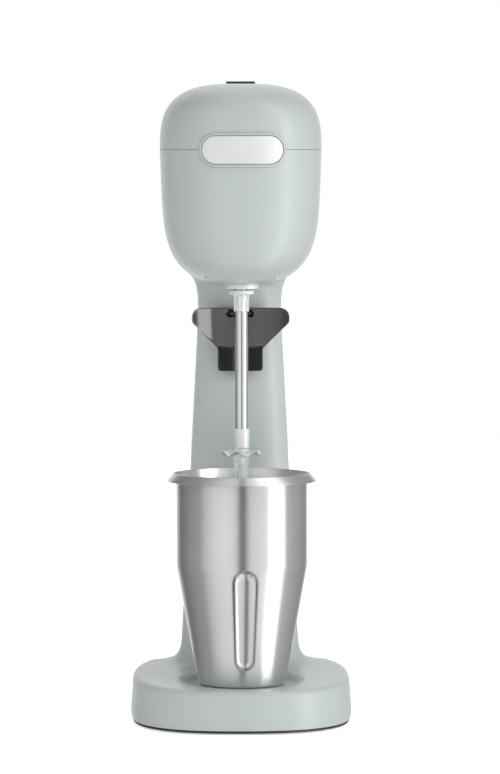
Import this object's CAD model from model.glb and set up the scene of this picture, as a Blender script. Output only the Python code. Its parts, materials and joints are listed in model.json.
import json
import math

import bmesh
import bpy
import numpy as np
from mathutils import Matrix, Vector

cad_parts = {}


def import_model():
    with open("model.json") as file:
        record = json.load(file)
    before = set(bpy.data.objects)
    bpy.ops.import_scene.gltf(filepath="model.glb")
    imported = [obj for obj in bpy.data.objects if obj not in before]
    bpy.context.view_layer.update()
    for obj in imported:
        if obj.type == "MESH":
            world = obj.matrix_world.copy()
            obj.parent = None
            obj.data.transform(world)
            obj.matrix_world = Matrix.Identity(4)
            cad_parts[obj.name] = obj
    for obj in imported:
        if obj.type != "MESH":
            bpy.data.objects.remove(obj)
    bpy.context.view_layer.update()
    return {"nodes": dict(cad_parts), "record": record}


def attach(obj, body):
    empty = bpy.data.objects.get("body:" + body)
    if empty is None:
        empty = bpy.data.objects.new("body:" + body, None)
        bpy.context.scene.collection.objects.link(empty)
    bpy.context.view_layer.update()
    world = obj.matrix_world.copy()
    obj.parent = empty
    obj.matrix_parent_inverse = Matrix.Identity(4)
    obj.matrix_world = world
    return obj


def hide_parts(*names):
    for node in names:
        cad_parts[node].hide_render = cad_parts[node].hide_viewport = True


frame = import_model()
MM = 0.001

# Shapes repeated from part.py, in millimetres. Heights are drawn from the casting's datum and
# every finished piece is lifted by LIFT to stand on the table.
LIFT = 3.4
AXIS_Y = -37.0
BASE_X, BASE_Y, BASE_POWER = 85.2, 98.2, 2.5
BASE_LOW = -0.2
BASE_WIDEST = 6.6
SEAT_RADIUS, SEAT_LEVEL = 43.0, 28.5
HEAD_X, HEAD_FRONT, HEAD_BACK, HEAD_POWER = 61.9, -92.0, 78.0, 2.6
DOME_HEIGHT, DOME_POWER = 50.3, 3.0
BOWL_DEPTH = 104.3
SPLIT = 436.8
SPLIT_GAP = 0.07
WALL = 3.5
CUP_LOW, CUP_SHOULDER = 28.7, 120.0
CUP_FOOT_RADIUS, CUP_NECK_RADIUS, CUP_THICK = 33.5, 50.0, 0.8
CUP_TURN = math.radians(2.3)
GLAND_Z = 13.6
# how fast the head's front and the bowl's back draw in as the head narrows
FRONT_FALL, BOWL_BACK_FALL = 1.1, 0.13
BADGE_LENGTH, BADGE_HEIGHT = 66.0, 26.0
HANGER_THICK = 3.2
WINDOW_HALF, WINDOW_LOW, WINDOW_HIGH = 9.2, 307.1, 313.0
ROD_RADIUS, ROD_LOW, ROD_SLEEVE_RADIUS, ROD_SLEEVE_TOP = 5.0, 209.4, 6.0, 224.2
SHAFT_LOW = 313.6
HUB_RADIUS = 5.2


# ------------------------------------------------------------------ mesh helpers


def new_object(name, verts, faces, scale=MM):
    """Mesh object from vertices in millimetres."""
    mesh = bpy.data.meshes.new(name)
    mesh.from_pydata([tuple(float(c) * scale for c in v) for v in verts], [], faces)
    mesh.validate()
    mesh.update()
    obj = bpy.data.objects.new(name, mesh)
    bpy.context.scene.collection.objects.link(obj)
    return obj


def ring_strip(count, rings):
    """Quads between neighbouring rings of count vertices each."""
    faces = []
    for k in range(rings - 1):
        low, high = k * count, (k + 1) * count
        for i in range(count):
            j = (i + 1) % count
            faces.append((low + i, low + j, high + j, high + i))
    return faces


def ring_loop(count, rings):
    """As ring_strip, with the last ring joined back to the first."""
    last = (rings - 1) * count
    faces = ring_strip(count, rings)
    for i in range(count):
        j = (i + 1) % count
        faces.append((last + i, last + j, j, i))
    return faces


def loop_skin(name, rings):
    """Closed skin through rings of which the last joins back to the first."""
    verts = [p for ring in rings for p in ring]
    return new_object(name, verts, ring_loop(len(rings[0]), len(rings)))


def loft(name, rings, cap_low=True, cap_high=True):
    """Closed skin through rings of equal length, each a list of points."""
    count = len(rings[0])
    verts = [p for ring in rings for p in ring]
    faces = ring_strip(count, len(rings))
    caps = ((cap_low, 0, True), (cap_high, (len(rings) - 1) * count, False))
    for wanted, first, flip in caps:
        if wanted:
            middle = np.mean(np.array(verts[first : first + count]), axis=0)
            verts.append(tuple(middle))
            centre = len(verts) - 1
            for i in range(count):
                j = (i + 1) % count
                face = (first + i, first + j, centre)
                faces.append(face[::-1] if flip else face)
    return new_object(name, verts, faces)


def evaluate(obj):
    """Bakes an object's modifiers into its mesh."""
    graph = bpy.context.evaluated_depsgraph_get()
    mesh = bpy.data.meshes.new_from_object(obj.evaluated_get(graph))
    obj.modifiers.clear()
    old = obj.data
    obj.data = mesh
    bpy.data.meshes.remove(old)
    return obj


def modify(obj, kind, **settings):
    """Adds one modifier and bakes it."""
    modifier = obj.modifiers.new(kind, kind)
    for key, value in settings.items():
        setattr(modifier, key, value)
    return evaluate(obj)


def join(name, objects):
    """One mesh from several."""
    verts, faces = [], []
    for o in objects:
        start = len(verts)
        verts += [tuple(v.co) for v in o.data.vertices]
        faces += [tuple(start + i for i in p.vertices) for p in o.data.polygons]
        bpy.data.objects.remove(o)
    return new_object(name, verts, faces, 1.0)


def cut(obj, tools):
    """Subtracts the joined tools from obj."""
    tool = join("cutter", tools)
    modify(obj, "BOOLEAN", operation="DIFFERENCE", solver="EXACT", object=tool)
    bpy.data.objects.remove(tool)
    return obj


def smooth_shade(obj, angle=35):
    """Smooth shading with edges sharper than angle left crisp."""
    mesh = obj.data
    mesh.polygons.foreach_set("use_smooth", [True] * len(mesh.polygons))
    mesh.set_sharp_from_angle(angle=math.radians(angle))
    mesh.update()
    return obj


def fix_normals(obj):
    """Turns every face outwards."""
    bm = bmesh.new()
    bm.from_mesh(obj.data)
    bmesh.ops.recalc_face_normals(bm, faces=bm.faces)
    bm.to_mesh(obj.data)
    bm.free()
    obj.data.update()
    return obj


def everywhere(co):
    """Full smoothing share for every vertex."""
    return np.ones(len(co))


def relax(obj, weight, rounds, taubin=True):
    """Laplacian smoothing by weight(co), a share per vertex. Taubin steps keep the volume."""
    mesh = obj.data
    n = len(mesh.vertices)
    co = np.empty(n * 3)
    mesh.vertices.foreach_get("co", co)
    co = co.reshape(n, 3)
    edges = np.empty(len(mesh.edges) * 2, np.int64)
    mesh.edges.foreach_get("vertices", edges)
    a, b = edges.reshape(-1, 2).T
    degree = np.bincount(a, minlength=n) + np.bincount(b, minlength=n)
    share = weight(co / MM)[:, None]
    for step in range(rounds):
        total = np.zeros_like(co)
        for axis in range(3):
            total[:, axis] = np.bincount(a, co[b, axis], n) + np.bincount(b, co[a, axis], n)
        pull = total / degree[:, None] - co
        factor = -0.53 if taubin and step % 2 else 0.5
        co += factor * share * pull
    mesh.vertices.foreach_set("co", co.ravel())
    mesh.update()
    return obj


def bisect(obj, z, keep_above):
    """Cuts the mesh at a height and drops one side, leaving it open."""
    bm = bmesh.new()
    bm.from_mesh(obj.data)
    bmesh.ops.bisect_plane(
        bm,
        geom=bm.verts[:] + bm.edges[:] + bm.faces[:],
        plane_co=(0, 0, z * MM),
        plane_no=(0, 0, 1),
        clear_inner=keep_above,
        clear_outer=not keep_above,
    )
    bm.to_mesh(obj.data)
    bm.free()
    obj.data.update()
    return obj


def finish_piece(obj, body, slot, *replaces):
    """Lift to the table, material, body and CAD node of a finished piece."""
    obj.data.transform(Matrix.Translation((0, 0, LIFT * MM)))
    obj.data.materials.clear()
    obj.data.materials.append(MATERIALS[slot])
    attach(obj, body)
    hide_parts(*replaces)
    return obj


def box_mesh(name, low, high, bevel=0.0):
    """Box with rounded edges, from its limits in millimetres."""
    x0, y0, z0 = low
    x1, y1, z1 = high
    verts = [(x, y, z) for z in (z0, z1) for y in (y0, y1) for x in (x0, x1)]
    faces = [(0, 2, 3, 1), (4, 5, 7, 6), (0, 1, 5, 4), (2, 6, 7, 3), (0, 4, 6, 2), (1, 3, 7, 5)]
    obj = new_object(name, verts, faces)
    if bevel:
        modify(obj, "BEVEL", width=bevel * MM, segments=3, limit_method="NONE")
    return obj


def lathe(name, profile, segments=96, x=0.0, y=AXIS_Y, closed=False):
    """Turned piece from (radius, z) points; the ends on the axis are capped."""
    rings = []
    for radius, z in profile:
        ring = []
        for k in range(segments):
            turn = 2 * math.pi * k / segments
            ring.append((x + radius * math.cos(turn), y + radius * math.sin(turn), z))
        rings.append(ring)
    if closed:
        return loop_skin(name, rings)
    return loft(name, rings, profile[0][0] > 0, profile[-1][0] > 0)


def rounded(points, radius, steps=5):
    """Polyline with quadratic arcs at its inner corners; radius is one value or a list."""
    radii = radius if isinstance(radius, (list, tuple)) else [radius] * len(points)
    out = [points[0]]
    for k in range(1, len(points) - 1):
        p, q, r = (np.array(points[i], float) for i in (k - 1, k, k + 1))
        reach = min(radii[k], np.linalg.norm(p - q) * 0.48, np.linalg.norm(r - q) * 0.48)
        if reach <= 0:
            out.append(tuple(q))
            continue
        a = q + (p - q) / np.linalg.norm(p - q) * reach
        b = q + (r - q) / np.linalg.norm(r - q) * reach
        for s in np.linspace(0, 1, steps + 1):
            out.append(tuple((1 - s) ** 2 * a + 2 * s * (1 - s) * q + s**2 * b))
    out.append(points[-1])
    return out


# ------------------------------------------------------------------ materials


class Nodes:
    """Small helper round one material's node tree."""

    def __init__(self, name):
        self.material = bpy.data.materials.new(name)
        self.material.use_nodes = True
        self.tree = self.material.node_tree
        self.shader = self.tree.nodes["Principled BSDF"]
        self.coords = self.tree.nodes.new("ShaderNodeTexCoord")

    def set(self, **values):
        for key, value in values.items():
            self.shader.inputs[key.replace("_", " ")].default_value = value

    def link(self, a, b):
        self.tree.links.new(a, b)

    def mapping(self, scale):
        node = self.tree.nodes.new("ShaderNodeMapping")
        node.inputs["Scale"].default_value = scale
        self.link(self.coords.outputs["Object"], node.inputs["Vector"])
        return node.outputs["Vector"]

    def noise(self, scale, detail=3.0, rough=0.5, stretch=(1, 1, 1)):
        node = self.tree.nodes.new("ShaderNodeTexNoise")
        node.inputs["Scale"].default_value = scale
        node.inputs["Detail"].default_value = detail
        node.inputs["Roughness"].default_value = rough
        self.link(self.mapping(stretch), node.inputs["Vector"])
        return node.outputs["Fac"]

    def ramp(self, value, stops):
        node = self.tree.nodes.new("ShaderNodeValToRGB")
        ramp = node.color_ramp
        while len(ramp.elements) < len(stops):
            ramp.elements.new(0.5)
        for element, (place, colour) in zip(ramp.elements, stops):
            element.position = place
            element.color = (*colour, 1)
        self.link(value, node.inputs["Fac"])
        return node.outputs["Color"]

    def spread(self, value, low, high):
        """Maps 0.3..0.7 of a noise to low..high."""
        node = self.tree.nodes.new("ShaderNodeMapRange")
        node.inputs["From Min"].default_value = 0.3
        node.inputs["From Max"].default_value = 0.7
        node.inputs["To Min"].default_value = low
        node.inputs["To Max"].default_value = high
        self.link(value, node.inputs["Value"])
        return node.outputs["Result"]

    def blend(self, value, dark, light):
        """Colour from dark to light over the middle of a noise."""
        return self.ramp(value, [(0.3, dark), (0.7, light)])

    def colour_between(self, value, dark, light):
        self.link(self.blend(value, dark, light), self.shader.inputs["Base Color"])

    def roughness_between(self, value, low, high):
        self.link(self.spread(value, low, high), self.shader.inputs["Roughness"])

    def bump(self, value, strength, distance, after=None):
        node = self.tree.nodes.new("ShaderNodeBump")
        node.inputs["Strength"].default_value = strength
        node.inputs["Distance"].default_value = distance
        self.link(value, node.inputs["Height"])
        if after is not None:
            self.link(after, node.inputs["Normal"])
        self.link(node.outputs["Normal"], self.shader.inputs["Normal"])
        return node.outputs["Normal"]


def shade(colour, factor):
    return tuple(c * factor for c in colour)


def paint():
    """Satin stove enamel on a die casting: faint orange peel, slight tone drift, clear top layer."""
    m = Nodes("paint")
    base = (0.327, 0.358, 0.350)
    m.colour_between(m.noise(9, 3, 0.5), shade(base, 0.975), shade(base, 1.02))
    m.roughness_between(m.noise(160, 4, 0.6), 0.36, 0.44)
    peel = m.bump(m.noise(900, 2, 0.5), 0.10, 0.00012)
    m.bump(m.noise(5200, 2, 0.6), 0.05, 0.00004, peel)
    m.set(Coat_Weight=0.25, Coat_Roughness=0.18, Specular_IOR_Level=0.45)
    return m.material


def stainless():
    """Spun and brushed stainless steel: fine rings blur what it mirrors up and down."""
    m = Nodes("stainless")
    steel = m.blend(m.noise(14, 4, 0.6), (0.66, 0.66, 0.665), (0.72, 0.72, 0.722))
    shadow = m.blend(m.noise(90, 3, 0.6), (0.20, 0.20, 0.20), (0.25, 0.25, 0.25))
    outline = m.tree.nodes.new("ShaderNodeAttribute")
    outline.attribute_name = "outline"
    stain = m.tree.nodes.new("ShaderNodeMix")
    stain.data_type = "RGBA"
    m.link(outline.outputs["Fac"], stain.inputs["Factor"])
    m.link(steel, stain.inputs["A"])
    m.link(shadow, stain.inputs["B"])
    m.link(stain.outputs["Result"], m.shader.inputs["Base Color"])
    rings = m.noise(40, 3, 0.7, (1, 1, 160))
    m.roughness_between(rings, 0.27, 0.35)
    first = m.bump(rings, 0.10, 0.00003)
    m.bump(m.noise(26, 4, 0.5), 0.04, 0.0003, first)
    round_axis = m.tree.nodes.new("ShaderNodeTangent")
    round_axis.direction_type = "RADIAL"
    round_axis.axis = "Z"
    m.link(round_axis.outputs["Tangent"], m.shader.inputs["Tangent"])
    m.set(Metallic=1.0, Anisotropic=0.85, Anisotropic_Rotation=0.25)
    return m.material


def polished_steel():
    """Ground and polished steel with fine turning marks."""
    m = Nodes("polished_steel")
    m.colour_between(m.noise(30, 3, 0.6), (0.68, 0.68, 0.685), (0.76, 0.76, 0.762))
    rings = m.noise(60, 3, 0.7, (1, 1, 90))
    m.roughness_between(rings, 0.08, 0.16)
    m.bump(rings, 0.08, 0.00002)
    m.set(Metallic=1.0)
    return m.material


def satin_silver():
    """Satin anodised silver with a fine straight grain."""
    m = Nodes("satin_silver")
    m.colour_between(m.noise(20, 3, 0.5), (0.63, 0.63, 0.632), (0.69, 0.69, 0.692))
    grain = m.noise(50, 3, 0.7, (1, 1, 60))
    m.roughness_between(grain, 0.52, 0.62)
    m.bump(grain, 0.05, 0.00003)
    m.set(Metallic=0.55)
    return m.material


def gloss_black():
    """Gloss black moulding with faint flow lines and dust-fine haze."""
    m = Nodes("gloss_black")
    m.colour_between(m.noise(60, 4, 0.6), (0.006, 0.006, 0.007), (0.012, 0.012, 0.013))
    m.roughness_between(m.noise(120, 4, 0.6), 0.05, 0.10)
    m.bump(m.noise(45, 2, 0.5), 0.05, 0.0002)
    m.set(Specular_IOR_Level=0.6, Coat_Weight=1.0, Coat_Roughness=0.05, Coat_IOR=1.6)
    return m.material


def black_plastic():
    """Fine spark-eroded texture on black plastic."""
    m = Nodes("black_plastic")
    m.colour_between(m.noise(40, 4, 0.6), (0.012, 0.012, 0.013), (0.024, 0.024, 0.025))
    m.roughness_between(m.noise(300, 4, 0.6), 0.34, 0.5)
    m.bump(m.noise(3500, 2, 0.6), 0.25, 0.00006)
    return m.material


def rubber():
    """Matt black rubber."""
    m = Nodes("rubber")
    m.colour_between(m.noise(80, 4, 0.6), (0.012, 0.012, 0.012), (0.026, 0.026, 0.026))
    m.roughness_between(m.noise(400, 4, 0.6), 0.65, 0.85)
    m.bump(m.noise(2200, 3, 0.6), 0.3, 0.0001)
    return m.material


def clear_plastic():
    """Clear polycarbonate, a little hazy from use."""
    m = Nodes("clear_plastic")
    m.colour_between(m.noise(50, 3, 0.5), (0.90, 0.92, 0.92), (0.96, 0.97, 0.97))
    m.roughness_between(m.noise(200, 4, 0.6), 0.08, 0.15)
    m.bump(m.noise(300, 2, 0.5), 0.04, 0.0001)
    m.set(Transmission_Weight=0.72, IOR=1.2)
    return m.material


def metal(name, dark, light, low, high, scale=60, stretch=(1, 1, 1)):
    """Plain metal with grain."""
    m = Nodes(name)
    grain = m.noise(scale, 4, 0.6, stretch)
    m.colour_between(grain, dark, light)
    m.roughness_between(m.noise(scale * 4, 3, 0.6), low, high)
    m.bump(m.noise(scale * 12, 3, 0.6, stretch), 0.1, 0.00005)
    m.set(Metallic=1.0)
    return m.material


def plastic(name, dark, light, low, high, scale=60):
    """Plain moulded plastic with a fine surface."""
    m = Nodes(name)
    m.colour_between(m.noise(scale, 4, 0.6), dark, light)
    m.roughness_between(m.noise(scale * 4, 3, 0.6), low, high)
    m.bump(m.noise(scale * 30, 2, 0.6), 0.15, 0.00005)
    return m.material


MATERIALS = {
    "paint": paint(),
    "stainless": stainless(),
    "steel": polished_steel(),
    "satin_silver": satin_silver(),
    "gloss_black": gloss_black(),
    "black_plastic": black_plastic(),
    "rubber": rubber(),
    "clear_plastic": clear_plastic(),
    "zinc": metal("zinc", (0.50, 0.50, 0.52), (0.66, 0.66, 0.66), 0.25, 0.4),
    "brass": metal("brass", (0.62, 0.46, 0.20), (0.74, 0.57, 0.28), 0.25, 0.4),
    "bronze": metal("bronze", (0.36, 0.25, 0.13), (0.48, 0.34, 0.19), 0.4, 0.6, 200),
    "copper": metal("copper", (0.42, 0.17, 0.07), (0.60, 0.27, 0.12), 0.25, 0.4, 90, (1, 1, 30)),
    "cast_alloy": metal("cast_alloy", (0.42, 0.42, 0.42), (0.56, 0.56, 0.55), 0.45, 0.6, 120),
    "lamination": metal(
        "lamination", (0.16, 0.17, 0.19), (0.28, 0.29, 0.31), 0.4, 0.6, 60, (1, 1, 80)
    ),
    "black_plate": plastic("black_plate", (0.008, 0.008, 0.008), (0.018, 0.018, 0.018), 0.45, 0.6),
    "nylon": plastic("nylon", (0.60, 0.58, 0.52), (0.72, 0.70, 0.64), 0.4, 0.55),
    "felt": plastic("felt", (0.05, 0.048, 0.044), (0.10, 0.096, 0.09), 0.85, 0.95, 300),
    "carbon": plastic("carbon", (0.012, 0.012, 0.013), (0.03, 0.03, 0.032), 0.4, 0.6, 200),
    "capacitor_yellow": plastic(
        "capacitor_yellow", (0.52, 0.33, 0.03), (0.64, 0.42, 0.05), 0.25, 0.35
    ),
    "wire_grey": plastic("wire_grey", (0.035, 0.035, 0.037), (0.06, 0.06, 0.062), 0.4, 0.55, 100),
    "fan_plastic": plastic("fan_plastic", (0.015, 0.015, 0.016), (0.03, 0.03, 0.031), 0.4, 0.55),
}

for entry in frame["record"]["subparts"]:
    node = frame["nodes"][entry["node"]]
    node.data.materials.clear()
    node.data.materials.append(MATERIALS[entry["material_slot"]])
    smooth_shade(node, 30)


# ------------------------------------------------------------------ casting


def superellipse(z, half_x, front, back, power, count=160):
    """Superellipse outline as a level ring of points at height z."""
    turn = 2 * np.pi * np.arange(count) / count
    c, s = np.cos(turn), np.sin(turn)
    x = half_x * np.sign(c) * np.abs(c) ** (2 / power)
    y = (back - front) / 2 * np.sign(s) * np.abs(s) ** (2 / power) + (back + front) / 2
    return np.stack([x, y, np.full(count, float(z))], axis=1)


def base_inset(z):
    """How far the side of the foot stands in from its widest line."""
    if z < BASE_WIDEST:
        return ((BASE_WIDEST - z) / 6.8) ** 2
    return 0.075 * (z - BASE_WIDEST)


def base_top(y):
    """Height of the sloping top of the foot."""
    return 33.8 + 0.050 * y


def stem_ring(z):
    """Outline of the column, flared at the foot and under the head."""
    level = max(z, 36.0)
    half_x = 31.9 + 0.0530 * (315 - level)
    half_x += 10.5 * math.exp((36 - level) / 4.0)
    half_x += 17.4 * math.exp((level - 347) / 9.08)
    front = 24 - 34 * math.exp((level - 345) / 8.6) - 7 * math.exp((36 - level) / 6)
    lean = max(315 - level, 0) / 231
    back = 74 + 8 * lean**2 + 6 * math.exp((36 - level) / 7)
    return superellipse(z, half_x, front, back, 2.6)


def bowl_half_x(z):
    """Half width of the lower half of the head."""
    fall = (SPLIT - z) / BOWL_DEPTH
    return (HEAD_X - 3.5 * fall) * (1 - max(fall, 0) ** 5) ** (1 / HEAD_POWER)


def dome_half_x(z):
    """Half width of the cover at a height."""
    rise = max((z - SPLIT) / DOME_HEIGHT, 0)
    return HEAD_X * max(1 - rise**DOME_POWER, 0) ** (1 / DOME_POWER)


def bowl_ring(z):
    """Outline of the lower half of the head."""
    half_x = bowl_half_x(min(z, SPLIT))
    shrink = HEAD_X - half_x
    front = HEAD_FRONT + FRONT_FALL * shrink
    back = HEAD_BACK - BOWL_BACK_FALL * shrink
    return superellipse(z, half_x, front, back, HEAD_POWER)


def base_solid():
    """Foot with its draft, rounded top edge, sloping top and cup seat."""
    edge = 5.5
    rings = []
    for z in (-3.0, BASE_LOW, 1.5, 4, 6.6, 10, 14, 18, 21):
        inset = base_inset(max(z, BASE_LOW))
        half = BASE_Y - inset
        rings.append(superellipse(z, BASE_X - inset, -half, half, BASE_POWER))
    side = 1.5
    for turn in np.radians(np.arange(0, 91, 10)):
        inset = side + edge * (1 - math.cos(turn))
        half = BASE_Y - inset
        ring = superellipse(0, BASE_X - inset, -half, half, BASE_POWER)
        ring[:, 2] = base_top(ring[:, 1]) - edge * (1 - math.sin(turn))
        rings.append(ring)
    last = rings[-1]
    for share in np.linspace(0.97, 0.02, 46):
        ring = last.copy()
        ring[:, :2] *= share
        ring[:, 2] = base_top(ring[:, 1])
        rings.append(ring)
    return loft("base", rings)


def cylinder(name, radius, low, high, x=0.0, y=0.0, segments=96):
    """Upright cylinder."""
    return lathe(name, [(radius, low), (radius, high)], segments, x, y)


def cylinder_y(name, radius, low, high, x, z):
    """Cylinder along Y."""
    obj = cylinder(name, radius, low, high, segments=48)
    lay_down = Matrix.Rotation(math.radians(-90), 4, "X")
    obj.data.transform(Matrix.Translation((x * MM, 0, z * MM)) @ lay_down)
    return obj


def rounded_slot(name, x, y0, y1, z0, z1, width):
    """Upright slot tool with round ends, cut along Y."""
    half = width / 2
    outline = []
    for k in range(13):
        turn = math.pi * k / 12
        outline.append((x + half * math.cos(turn), z1 - half + half * math.sin(turn)))
    for k in range(13):
        turn = math.pi + math.pi * k / 12
        outline.append((x + half * math.cos(turn), z0 + half + half * math.sin(turn)))
    rings = [[(px, y, pz) for px, pz in outline] for y in (y1, y0)]
    return loft(name, rings)


def casting_shell():
    """Foot, column and bowl of the head grown together, hollowed and cut."""
    base = base_solid()
    cut(base, [cylinder("seat", SEAT_RADIUS, SEAT_LEVEL, 60, 0, AXIS_Y, 160)])
    heights = [26, 31, *range(36, 60, 2), *range(60, 316, 8), *np.arange(316, 347.1, 1.5)]
    stem = loft("stem", [stem_ring(z) for z in heights])
    levels = [335, 335.6, 336.4, 337.5, 339, 341]
    levels += [*range(343, 380, 3), *range(380, 436, 6), 438, 441]
    bowl = loft("bowl", [bowl_ring(z) for z in levels])
    body = join("casting_shell", [base, stem, bowl])
    voxel = 1.25
    modify(body, "REMESH", mode="VOXEL", voxel_size=voxel * MM, adaptivity=0.0)

    def near_joints(co):
        """Smoothing share near the blends of the column and at the rim of the seat."""
        x, y, z = co.T
        under_head = np.exp(-(((z - 341) / 13) ** 2)) * (y > -40)
        foot = np.exp(-(((z - 38) / 9) ** 2)) * (np.abs(x) < 66) * (y > 4)
        seat_rim = np.exp(-(((np.hypot(x, y - AXIS_Y) - SEAT_RADIUS) / 5) ** 2)) * (z < 40)
        return np.clip(under_head + foot + seat_rim, 0, 1)

    relax(body, everywhere, 16)
    relax(body, near_joints, 60, False)
    relax(body, everywhere, 6)
    bisect(body, BASE_LOW, True)
    bisect(body, SPLIT - SPLIT_GAP, False)
    modify(body, "SOLIDIFY", thickness=WALL * MM, offset=-1.0, use_even_offset=False)
    tools = [cylinder("collar_hole", 10.2, 325, 350, 0, AXIS_Y)]
    tools.append(cylinder_y("gland", 8.1, 80, 102, 0, GLAND_Z))
    tools.append(box_mesh("window", (-12, 10, 285.5), (12, 34, 314), 1.0))
    tools += [rounded_slot("vent", step * 7, 60, 90, 380, 406, 3) for step in range(-4, 5)]
    cut(body, tools)
    smooth_shade(body, 40)
    return finish_piece(body, "machine", "paint", "body_casting")


def dome_ring(turn, z_low):
    """Level ring of the dome at an angle above its joint line."""
    half_x = HEAD_X * math.cos(turn) ** (2 / DOME_POWER)
    shrink = HEAD_X - half_x
    z = z_low + (DOME_HEIGHT - z_low + SPLIT) * math.sin(turn) ** (2 / DOME_POWER)
    inset = FRONT_FALL * shrink
    return superellipse(z, half_x, HEAD_FRONT + inset, HEAD_BACK - inset, HEAD_POWER, 220)


def head_cover_shell():
    """Domed cover as one thin shell with the opening for the switch."""
    z_low = SPLIT + SPLIT_GAP
    turns = np.concatenate([[0, 0.2, 0.7], np.linspace(1.6, 76, 52), np.linspace(77, 83, 7)])
    rings = [dome_ring(t, z_low) for t in np.radians(turns)]
    rim = rings[0].copy()
    head_middle = np.array([0, -7])
    rim[:, :2] += (head_middle - rim[:, :2]) * 0.006
    rim[:, 2] = z_low
    rings[0][:, 2] = z_low + 0.35
    cover = loft("head_cover_shell", [rim, *rings], False, True)
    modify(cover, "SOLIDIFY", thickness=WALL * MM, offset=-1.0, use_even_offset=False)
    cut(cover, [box_mesh("switch_hole", (-10.2, -14, 470), (10.2, 0, 495), 0.6)])
    smooth_shade(cover, 40)
    return finish_piece(cover, "machine", "paint", "head_cover")


# ------------------------------------------------------------------ badge


def head_front(x, z):
    """Y of the front of the head at a point of its front view."""
    half_x = bowl_half_x(z) if z <= SPLIT else dome_half_x(z)
    shrink = HEAD_X - half_x
    front = HEAD_FRONT + FRONT_FALL * shrink
    back = HEAD_BACK - (BOWL_BACK_FALL if z <= SPLIT else FRONT_FALL) * shrink
    half_y = (back - front) / 2
    bulge = (1 - min(abs(x) / half_x, 1) ** HEAD_POWER) ** (1 / HEAD_POWER)
    return (back + front) / 2 - half_y * bulge


def stadium_ring(length, height, lift):
    """Stadium outline that follows the head, standing proud by lift."""
    count = 144
    radius = height / 2
    straight = max(length / 2 - radius, 0)
    around = []
    perimeter = 4 * straight + 2 * math.pi * radius
    for k in range(count):
        s = perimeter * k / count
        if s < 2 * straight:
            px, pz = straight - s, radius
        elif s < 2 * straight + math.pi * radius:
            turn = math.pi / 2 + (s - 2 * straight) / radius
            px, pz = -straight + radius * math.cos(turn), radius * math.sin(turn)
        elif s < 4 * straight + math.pi * radius:
            px, pz = -straight + (s - 2 * straight - math.pi * radius), -radius
        else:
            turn = -math.pi / 2 + (s - 4 * straight - math.pi * radius) / radius
            px, pz = straight + radius * math.cos(turn), radius * math.sin(turn)
        around.append((px, head_front(px, SPLIT + pz) - lift, SPLIT + pz))
    return around


def badge():
    """Painted raised rim and the satin plate inside it."""
    outer_side = [(0, 0.1), (0.05, 0.8), (0.4, 1.35), (1.0, 1.65)]
    inner_side = [(1.5, 1.65), (1.85, 1.45), (2.1, 1.0), (2.15, 0.1)]
    rings = []
    for inset, lift in outer_side + inner_side:
        rings.append(stadium_ring(BADGE_LENGTH - 2 * inset, BADGE_HEIGHT - 2 * inset, lift))
    rim = loop_skin("badge_rim", rings)
    fix_normals(rim)
    smooth_shade(rim, 60)
    finish_piece(rim, "machine", "paint", "badge_frame")
    badge_plate()


def badge_plate():
    """Stadium plate bent to the head, its edge rounded over just inside the rim."""
    radius = 10.6
    straight = 20.0
    ends = straight + radius * np.sin(np.linspace(0, math.pi / 2, 18))
    columns = np.concatenate([-ends[::-1], np.linspace(-straight, straight, 45)[1:-1], ends])
    rows = np.sin(np.linspace(-math.pi / 2, math.pi / 2, 35))
    verts = []
    for x in columns:
        over = max(abs(x) - straight, 0)
        half = math.sqrt(max(radius**2 - over**2, 0))
        for share in rows:
            z = share * half
            inside = min(max((radius - math.hypot(over, z)) / 0.4, 0), 1)
            lift = 0.15 + 0.9 * math.sqrt(inside * (2 - inside))
            verts.append((x, head_front(x, SPLIT + z) - lift, SPLIT + z))
    n = len(rows)
    faces = []
    for i in range(len(columns) - 1):
        for k in range(n - 1):
            faces.append((i * n + k, (i + 1) * n + k, (i + 1) * n + k + 1, i * n + k + 1))
    plate = new_object("badge_plate_face", verts, faces)
    smooth_shade(plate, 60)
    return finish_piece(plate, "machine", "satin_silver", "badge_plate")


# ------------------------------------------------------------------ cup


def groove(radius, z, turn):
    """Depth of the stamped baffles at a point of the wall, and how close it is to their outline."""
    low_z, high_z, low_r, high_r = 50.9, 109.4, 7.8, 9.9
    edge_width, deepest, least = 4.6, 2.4, 0.6
    if not 42 < z < 121:
        return 0.0, 0.0
    for centre in (-math.pi / 2, math.pi / 2):
        away = (turn - centre - CUP_TURN + math.pi) % (2 * math.pi) - math.pi
        x = radius * math.sin(away)
        if abs(away) > 0.5:
            continue
        share = min(max((z - low_z) / (high_z - low_z), 0), 1)
        spine = low_z + share * (high_z - low_z)
        reach = low_r + share * (high_r - low_r)
        inside = reach + 0.6 - math.hypot(x, z - spine)
        edge = min(max(inside / edge_width, 0), 1)
        trough = max(deepest - x * x / 52, 0.0)
        bottom = math.sqrt(radius**2 - x * x) - trough + x * x / (2 * radius)
        pressed = radius - math.hypot(x, bottom)
        mark = 0.8 * math.exp(-(((inside - 1.5) / 1.15) ** 2))
        return max(pressed, least) * edge * edge * (3 - 2 * edge), mark
    return 0.0, 0.0


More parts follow.
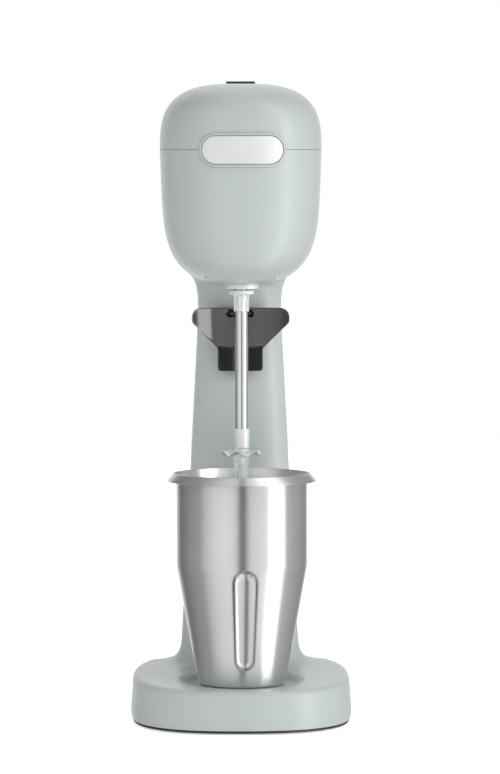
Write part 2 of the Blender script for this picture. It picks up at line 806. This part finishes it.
def cup():
    """Spun cup: tapered foot, straight neck, turned-over lip and two pressed baffles."""
    neck = CUP_NECK_RADIUS
    slope = (neck - CUP_FOOT_RADIUS) / (CUP_SHOULDER - CUP_LOW)
    foot = [(0.01, 0), (26, 0), (31.8, 0.15), (33.2, 1.0), (33.75, 2.6), (34.2, 4.6)]
    outer = [(r, CUP_LOW + z) for r, z in foot]
    outer += [(CUP_FOOT_RADIUS + slope * (z - CUP_LOW), z) for z in np.arange(35.2, 112.1, 1.0)]
    below = CUP_SHOULDER - 7
    bend = [(CUP_FOOT_RADIUS + slope * (below - CUP_LOW), below), (neck, CUP_SHOULDER), (neck, 128)]
    outer += rounded(bend, 8, 12)
    outer += [(neck, z) for z in (132, 145, 160, 170)]
    turn_over = [(neck, 176), (neck, 182.8), (52.2, 189.4), (56.5, 184.1)]
    outer += rounded(turn_over, [0, 3, 0.3, 0], 5)
    flange = [(56.5, 184.1), (57.1, 184.6), (52.5, 190.4), (51.7, 190.4), (49.2, 182.8), (49.2, 176)]
    lip = rounded(flange, [0, 0.25, 0.7, 0.5, 3, 0], 6)[1:]
    floor_line = [(0.01, 0.8), (25.5, 0.8), (31.4, 1.0), (32.5, 2.0), (33.1, 4.0)]
    inner = [(r, CUP_LOW + z) for r, z in floor_line]
    inner += [(r - CUP_THICK, z) for r, z in outer if 34 < z < 172 and r < 51]
    profile = outer + lip + inner[::-1]
    count = 720
    verts, marks = [], []
    for r, z in profile:
        for k in range(count):
            turn = 2 * math.pi * k / count
            depth, mark = groove(r, z, turn) if r > 30 else (0.0, 0.0)
            marks.append(mark)
            reach = r - depth
            verts.append((reach * math.cos(turn), AXIS_Y + reach * math.sin(turn), z))
    obj = new_object("cup_shell", verts, ring_loop(count, len(profile)))
    fix_normals(obj)
    obj.data.attributes.new("outline", "FLOAT", "POINT").data.foreach_set("value", marks)
    smooth_shade(obj, 50)
    return finish_piece(obj, "cup", "stainless", "mixing_cup")


# ------------------------------------------------------------------ hanger and lever


def saddle_y(x, z):
    """Front surface of the hanger: a cone above, a flat tab below."""
    radius = 50.8 + 0.085 * (z - 285)
    cone = AXIS_Y + math.sqrt(max(radius * radius - x * x, 0))
    flat = 13.4
    share = min(max((z - 283.6) / 0.9, 0), 1)
    return flat + (cone - flat) * share


def away_from_window(co):
    """Smoothing share that keeps the edges of the lever's window crisp."""
    middle, half = (WINDOW_HIGH + WINDOW_LOW) / 2, (WINDOW_HIGH - WINDOW_LOW) / 2
    beside = np.maximum(np.abs(co[:, 0]) - WINDOW_HALF, 0)
    above = np.maximum(np.abs(co[:, 2] - middle) - half, 0)
    return np.clip(np.hypot(beside, above) / 3, 0.15, 1)


def rounded_loop(outline, radii):
    """Closed outline of straight runs with true arcs of the given radii at its corners."""
    points = []
    for k, corner in enumerate(outline):
        before = np.array(outline[k - 1], float)
        here = np.array(corner, float)
        after = np.array(outline[(k + 1) % len(outline)], float)
        a, b = before - here, after - here
        a, b = a / np.linalg.norm(a), b / np.linalg.norm(b)
        half_angle = math.acos(np.clip(a @ b, -1, 1)) / 2
        reach = radii[k] / math.tan(half_angle)
        centre = here + (a + b) / np.linalg.norm(a + b) * radii[k] / math.sin(half_angle)
        start, end = here + a * reach - centre, here + b * reach - centre
        t0 = math.atan2(start[1], start[0])
        dt = (math.atan2(end[1], end[0]) - t0 + math.pi) % (2 * math.pi) - math.pi
        for share in np.linspace(0, 1, 9):
            turn = t0 + dt * share
            points.append(tuple(centre + radii[k] * np.array([math.cos(turn), math.sin(turn)])))
    return points


def hanger():
    """Moulded hanger with rounded edges, bent to its saddle, with boss and fork."""
    half = [(37.6, 314.6), (37.6, 303.6), (17.5, 283.3), (17.5, 265.5)]
    outline = half + [(-x, z) for x, z in reversed(half)]
    points = rounded_loop(outline, [6.6, 4.5, 4.5, 2, 2, 4.5, 4.5, 6.6])
    rings = [[(x, y, z) for x, z in points] for y in (HANGER_THICK, 0.0)]
    plate = loft("hanger_plate", rings)
    fix_normals(plate)
    window = (-WINDOW_HALF, -3, WINDOW_LOW), (WINDOW_HALF, 6, WINDOW_HIGH)
    cut(plate, [box_mesh("lever_window", *window)])
    modify(plate, "REMESH", mode="VOXEL", voxel_size=0.5 * MM)
    relax(plate, away_from_window, 6, False)
    co = np.array([v.co for v in plate.data.vertices]) / MM
    co[:, 1] += [saddle_y(x, z) for x, y, z in co]
    plate.data.vertices.foreach_set("co", (co * MM).ravel())
    lever_room = (-6.9, 10, 286.5), (6.9, 31, 320)
    boss = box_mesh("hanger_boss", (-15, 15.8, 269), (15, 25.0, 301), 0.8)
    cut(boss, [box_mesh("lever_room", *lever_room)])
    fork = box_mesh("hanger_fork", (-11, 20, 298), (11, 44, 300.5), 0.5)
    cut(fork, [box_mesh("lever_room", *lever_room)])
    obj = join("hanger_body", [plate, boss, fork])
    smooth_shade(obj, 45)
    return finish_piece(obj, "machine", "gloss_black", "cup_hanger")


# ------------------------------------------------------------------ switch


def switch():
    """Bezel and plain dished rocker."""
    half = 8.85
    outer = box_mesh("switch_frame", (-11, -14.5, 486.9), (11, 0.5, 488.8), 0.55)
    cut(outer, [box_mesh("rocker_room", (-9.6, -13, 480), (9.6, -1, 500), 0.4)])
    smooth_shade(outer, 40)
    finish_piece(outer, "machine", "black_plastic", "switch_bezel")
    top = [(x, 488.0 + 0.6 * (abs(x) / half) ** 1.5) for x in np.linspace(-half, half, 31)]
    outline = top + [(half, 485.2), (5.5, 481), (-5.5, 481), (-half, 485.2)]
    rings = [[(x, y, z) for x, z in outline] for y in (-1.4, -12.6)]
    rocker = loft("rocker_cap", rings)
    fix_normals(rocker)
    sharp = math.radians(40)
    modify(rocker, "BEVEL", width=0.35 * MM, segments=3, limit_method="ANGLE", angle_limit=sharp)
    smooth_shade(rocker, 35)
    finish_piece(rocker, "rocker", "black_plastic", "speed_rocker")


# ------------------------------------------------------------------ spindle


def finish_turned(obj, body, slot, node):
    """Normals, shading and body of a turned piece."""
    fix_normals(obj)
    smooth_shade(obj, 40)
    return finish_piece(obj, body, slot, node)


def spindle():
    """Collar, nut, clear sleeve, rod, rod sleeve and agitator."""
    flange = [(6.5, 332), (6.5, 331), (13.5, 331), (13.5, 335)]
    neck = [(10.1, 335), (10.1, 341), (6.5, 341)]
    collar = lathe("collar_ring", rounded(flange + neck, 0.5, 3), closed=True)
    finish_turned(collar, "machine", "satin_silver", "spindle_collar")
    top, low = 330.2, 326.6
    section = [(4.2, top), (8.9, top), (9.5, 329.6), (9.5, 327.2), (8.9, low), (4.2, low)]
    nut = lathe("lock_nut", rounded(section, 0.3, 2), 144, closed=True)
    knurl_nut(nut)
    finish_turned(nut, "spindle", "satin_silver", "spindle_nut")
    section = [(4.05, low), (5.9, low), (5.9, SHAFT_LOW), (4.05, SHAFT_LOW)]
    sleeve = lathe("clear_sleeve", rounded(section, 0.4, 3), closed=True)
    finish_turned(sleeve, "spindle", "clear_plastic", "coupling_sleeve")
    section = [(0.01, 317), (3.9, 317), (3.9, SHAFT_LOW), (ROD_RADIUS, SHAFT_LOW)]
    section += [(ROD_RADIUS, ROD_LOW), (2.5, ROD_LOW), (2.5, 194), (0.01, 194)]
    rod = lathe("rod", rounded(section, 0.5, 4))
    finish_turned(rod, "spindle", "steel", "mixing_rod")
    bore, outside, low = ROD_RADIUS + 0.02, ROD_SLEEVE_RADIUS, ROD_LOW + 0.2
    section = [(bore, low), (outside, low), (outside, ROD_SLEEVE_TOP), (bore, ROD_SLEEVE_TOP)]
    rod_sleeve = lathe("rod_end_sleeve", rounded(section, 0.35, 3), closed=True)
    finish_turned(rod_sleeve, "spindle", "satin_silver", "rod_sleeve")
    agitator()


def knurl_nut(nut):
    """Shallow flutes round the nut."""
    flutes, depth, from_radius = 36, 0.03, 8.5 * MM
    co = np.array([v.co for v in nut.data.vertices])
    away = co[:, 1] - AXIS_Y * MM
    turn = np.arctan2(away, co[:, 0])
    outside = np.hypot(co[:, 0], away) > from_radius
    shrink = 1 - depth * outside * (0.5 + 0.5 * np.cos(turn * flutes)) ** 2
    co[:, 0] *= shrink
    co[:, 1] = away * shrink + AXIS_Y * MM
    nut.data.vertices.foreach_set("co", co.ravel())


def agitator():
    """Clear agitator: waved disc, hub tube and a small lower disc."""
    bore, low = 2.55, 172.0
    profile = [(bore, ROD_LOW), (HUB_RADIUS, ROD_LOW), (HUB_RADIUS, 204.0), (6.1, 201.2)]
    profile += [(HUB_RADIUS, 197.5), (HUB_RADIUS, low), (bore, low)]
    parts = [lathe("hub", rounded(profile, 0.6, 3), closed=True)]
    discs = (("wave", 14.6, 205.6, 1.5, 1.7, 6), ("low_wave", 11, 174.5, 1.4, 1.6, 4))
    for name, radius, level, thick, wave, lobes in discs:
        count, rings_n = 144, 14
        sheet = []
        for side in (1, -1):
            order = range(rings_n) if side > 0 else reversed(range(rings_n))
            for k in order:
                share = k / (rings_n - 1)
                r = HUB_RADIUS + (radius - HUB_RADIUS) * share
                edge = math.sqrt(max(1 - max(share - 0.93, 0) ** 2 / 0.07**2 * 0.9, 0))
                ring = []
                for i in range(count):
                    turn = 2 * math.pi * i / count
                    lift = wave * share**1.4 * math.sin(lobes * turn)
                    height = level + lift + side * thick / 2 * edge
                    ring.append((r * math.cos(turn), AXIS_Y + r * math.sin(turn), height))
                sheet.append(ring)
        parts.append(loop_skin(name, sheet))
    obj = join("agitator_blades", parts)
    fix_normals(obj)
    smooth_shade(obj, 45)
    return finish_piece(obj, "spindle", "clear_plastic", "agitator")


casting_shell()
head_cover_shell()
badge()
cup()
hanger()
switch()
spindle()


# ------------------------------------------------------------------ light, floor and camera


# brightness of the panels by azimuth: 0 is straight ahead, positive to the right
PANEL_BANDS = [
    *((-180, 1.15), (-162, 0.9), (-140, 0.16), (-100, 0.36), (-80, 0.40), (-70, 0.68)),
    *((-50, 0.92), (-25, 0.98), (-9, 0.86), (-4, 0.10), (4, 0.12), (12, 0.86), (35, 0.98)),
    *((50, 0.90), (54, 3.6), (74, 3.6), (82, 0.62), (125, 0.42), (150, 0.30)),
    *((164, 0.9), (180, 1.15)),
]
# the ceiling takes over between these sines of elevation, and has this brightness by sine
CEILING_STARTS, CEILING_FULL = 0.25, 0.45
CEILING = ((0.6, 1.9), (0.9, 0.35))
CAMERA_PLACE = (-0.064, -3.567, 0.4584)
CAMERA_PITCH, CAMERA_YAW, CAMERA_ROLL = 0.05631, 0.02001, 0.0012
CAMERA_LENS = 215.7


def world():
    """White backdrop for the camera; for light and reflections a ring of soft panels by azimuth."""
    scene_world = bpy.data.worlds.new("studio")
    bpy.context.scene.world = scene_world
    scene_world.use_nodes = True
    tree = scene_world.node_tree
    tree.nodes.clear()

    def node(kind, **settings):
        made = tree.nodes.new(kind)
        for key, value in settings.items():
            setattr(made, key, value)
        return made

    coords = node("ShaderNodeTexCoord")
    split = node("ShaderNodeSeparateXYZ")
    tree.links.new(coords.outputs["Generated"], split.inputs[0])
    flip = node("ShaderNodeMath", operation="MULTIPLY")
    flip.inputs[1].default_value = -1
    tree.links.new(split.outputs["Y"], flip.inputs[0])
    azimuth = node("ShaderNodeMath", operation="ARCTAN2")
    tree.links.new(split.outputs["X"], azimuth.inputs[0])
    tree.links.new(flip.outputs[0], azimuth.inputs[1])
    place = node("ShaderNodeMath", operation="MULTIPLY_ADD")
    place.inputs[1].default_value = 1 / (2 * math.pi)
    place.inputs[2].default_value = 0.5
    tree.links.new(azimuth.outputs[0], place.inputs[0])
    ramp = node("ShaderNodeValToRGB")
    elements = ramp.color_ramp.elements
    while len(elements) < len(PANEL_BANDS):
        elements.new(0.5)
    for element, (degrees, value) in zip(elements, PANEL_BANDS):
        element.position = (degrees + 180) / 360
        element.color = (value, value, value, 1)
    tree.links.new(place.outputs[0], ramp.inputs["Fac"])
    # overhead the panels melt into a bright ring of ceiling round a dimmer middle
    height = node("ShaderNodeMapRange")
    height.inputs["From Min"].default_value = CEILING_STARTS
    height.inputs["From Max"].default_value = CEILING_FULL
    tree.links.new(split.outputs["Z"], height.inputs["Value"])
    ceiling = node("ShaderNodeValToRGB")
    for element, (level, value) in zip(ceiling.color_ramp.elements, CEILING):
        element.position = level
        element.color = (value, value, value, 1)
    tree.links.new(split.outputs["Z"], ceiling.inputs["Fac"])
    roof = node("ShaderNodeMix", data_type="RGBA")
    path = node("ShaderNodeLightPath")
    not_mirror = node("ShaderNodeMath", operation="SUBTRACT")
    not_mirror.inputs[0].default_value = 1.0
    tree.links.new(path.outputs["Is Glossy Ray"], not_mirror.inputs[1])
    share = node("ShaderNodeMath", operation="MULTIPLY")
    tree.links.new(height.outputs["Result"], share.inputs[0])
    tree.links.new(not_mirror.outputs[0], share.inputs[1])
    tree.links.new(share.outputs[0], roof.inputs["Factor"])
    tree.links.new(ramp.outputs["Color"], roof.inputs["A"])
    tree.links.new(ceiling.outputs["Color"], roof.inputs["B"])
    lit = node("ShaderNodeBackground")
    lit.inputs["Strength"].default_value = 1.0
    tree.links.new(roof.outputs["Result"], lit.inputs["Color"])
    seen = node("ShaderNodeBackground")
    seen.inputs["Color"].default_value = (1, 1, 1, 1)
    seen.inputs["Strength"].default_value = 1.0
    mix = node("ShaderNodeMixShader")
    tree.links.new(path.outputs["Is Camera Ray"], mix.inputs["Fac"])
    tree.links.new(lit.outputs[0], mix.inputs[1])
    tree.links.new(seen.outputs[0], mix.inputs[2])
    out = node("ShaderNodeOutputWorld")
    tree.links.new(mix.outputs[0], out.inputs["Surface"])


def floor():
    """Plain pale floor."""
    half = 3.0
    corners = [(-half, -half, 0), (half, -half, 0), (half, half, 0), (-half, half, 0)]
    obj = new_object("floor", corners, [(0, 1, 2, 3)], 1.0)
    m = Nodes("floor_white")
    m.colour_between(m.noise(3, 2, 0.5), (0.90, 0.90, 0.90), (0.93, 0.93, 0.93))
    m.set(Roughness=0.6, Specular_IOR_Level=0.2)
    m.set(Emission_Color=(1, 1, 1, 1), Emission_Strength=0.45)
    obj.data.materials.append(m.material)
    obj.visible_glossy = False


def lamp(name, place, target, size, power):
    """Soft panel light aimed at a point."""
    data = bpy.data.lights.new(name, "AREA")
    data.energy = power
    data.shape = "RECTANGLE"
    data.size = size
    data.size_y = size
    obj = bpy.data.objects.new(name, data)
    obj.location = place
    obj.rotation_euler = (Vector(target) - Vector(place)).to_track_quat("-Z", "Y").to_euler()
    obj.visible_glossy = False
    obj.visible_camera = False
    bpy.context.scene.collection.objects.link(obj)


def camera():
    """Long lens level with the badge and a little to the left, aimed slightly down."""
    data = bpy.data.cameras.new("camera")
    data.sensor_fit = "AUTO"
    data.sensor_width = 36
    data.lens = CAMERA_LENS
    data.clip_start = 0.1
    data.clip_end = 50
    obj = bpy.data.objects.new("camera", data)
    obj.location = CAMERA_PLACE
    obj.rotation_euler = (math.pi / 2 - CAMERA_PITCH, CAMERA_ROLL, -CAMERA_YAW)
    bpy.context.scene.collection.objects.link(obj)
    bpy.context.scene.camera = obj


world()
floor()
lamp("key_right", (1.5, -1.3, 1.0), (0, 0, 0.28), 1.2, 16)
camera()
bpy.context.scene.view_settings.view_transform = "Standard"
